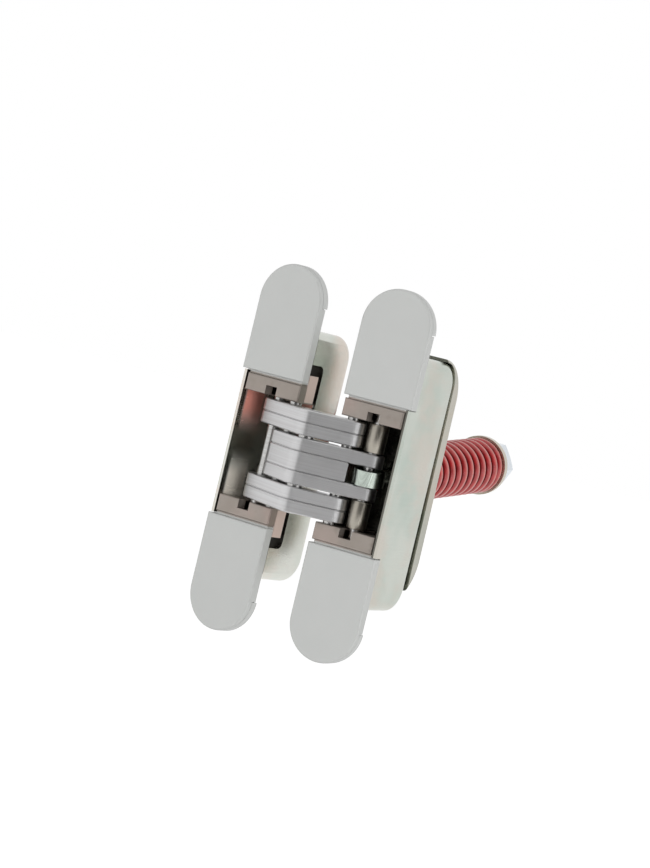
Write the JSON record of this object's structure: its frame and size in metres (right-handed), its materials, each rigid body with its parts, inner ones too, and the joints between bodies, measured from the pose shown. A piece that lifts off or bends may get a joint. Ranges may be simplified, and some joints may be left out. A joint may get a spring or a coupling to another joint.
{
  "type": "self-closing concealed hinge",
  "caption": "Mortised concealed door hinge: two rounded halves with cover caps, joined by crossing hooked steel arms, closed by a coil spring on a rod.",
  "frame": {"origin": "middle of the frame half's two screw holes, on the plane where its ears seat", "axes": "+Z along the hinge's pins, +X from the door half towards the frame half, +Y into the frame, faces towards -Y"},
  "size_m": [0.0632, 0.1031, 0.118],
  "materials": {
    "cap_finish": "fine satin silver-grey coating",
    "zinc_plate": "pressed steel with clear zinc plating",
    "zinc_casting": "grey-brown passivated zinc die casting",
    "arm_steel": "ground and brushed",
    "pin_steel": "ground",
    "roller_steel": "polished",
    "rod_steel": "zinc plated",
    "nut_steel": "bright zinc plated",
    "red_coating": "red coated spring wire"
  },
  "bodies": {
    "frame": {"frame_shell": "zinc_plate", "frame_liner": "zinc_plate", "frame_strap": "zinc_plate", "frame_upper_casting": "zinc_casting", "frame_lower_casting": "zinc_casting", "frame_upper_cap": "cap_finish", "frame_lower_cap": "cap_finish", "frame_pivot_pin": "pin_steel", "closing_spring": "red_coating"},
    "outer_arms": {"upper_arm_outer_plate": "arm_steel", "upper_arm_inner_plate": "arm_steel", "lower_arm_inner_plate": "arm_steel", "lower_arm_outer_plate": "arm_steel", "door_slide_pin": "pin_steel"},
    "central_arm": {"central_arm_upper_plate": "arm_steel", "central_arm_middle_plate": "arm_steel", "central_arm_lower_plate": "arm_steel", "crossing_pin": "pin_steel", "frame_slide_pin": "pin_steel", "upper_roller": "roller_steel", "lower_roller": "roller_steel"},
    "door": {"door_shell": "zinc_plate", "door_upper_casting": "zinc_casting", "door_lower_casting": "zinc_casting", "door_upper_cap": "cap_finish", "door_lower_cap": "cap_finish", "door_pivot_pin": "pin_steel"},
    "rod": {"spring_rod": "rod_steel", "spring_washer": "rod_steel", "rod_nut": "nut_steel"}
  },
  "joints": [
    {"name": "arm_swing", "type": "hinge", "parent": "frame", "child": "outer_arms", "pos_m": [-0.0085, 0.0003, 0], "axis": [0, 0, 1], "range_deg": [-0.02, 115.95]},
    {"name": "arm_crossing", "type": "hinge", "parent": "outer_arms", "child": "central_arm", "pos_m": [-0.02, -0.0062, 0], "axis": [0, 0, 1], "range_deg": [-43.03, 0.02]},
    {"name": "door_swing", "type": "hinge", "parent": "central_arm", "child": "door", "pos_m": [-0.03036, 0.00199, 0], "axis": [0, 0, 1], "range_deg": [0, 115.93]},
    {"name": "rod_slide", "type": "slide", "parent": "frame", "child": "rod", "axis": [0, 1, 0], "range_m": [-0.00001, 0.01129], "deforming": ["closing_spring"]}
  ],
  "couplings": [
    {"joint": "arm_swing", "follows": "door_swing", "ratio": 1},
    {"joint": "arm_crossing", "follows": "door_swing", "ratio": -0.37104},
    {"joint": "rod_slide", "follows": "door_swing", "m_per_rad": 0.0055766}
  ]
}
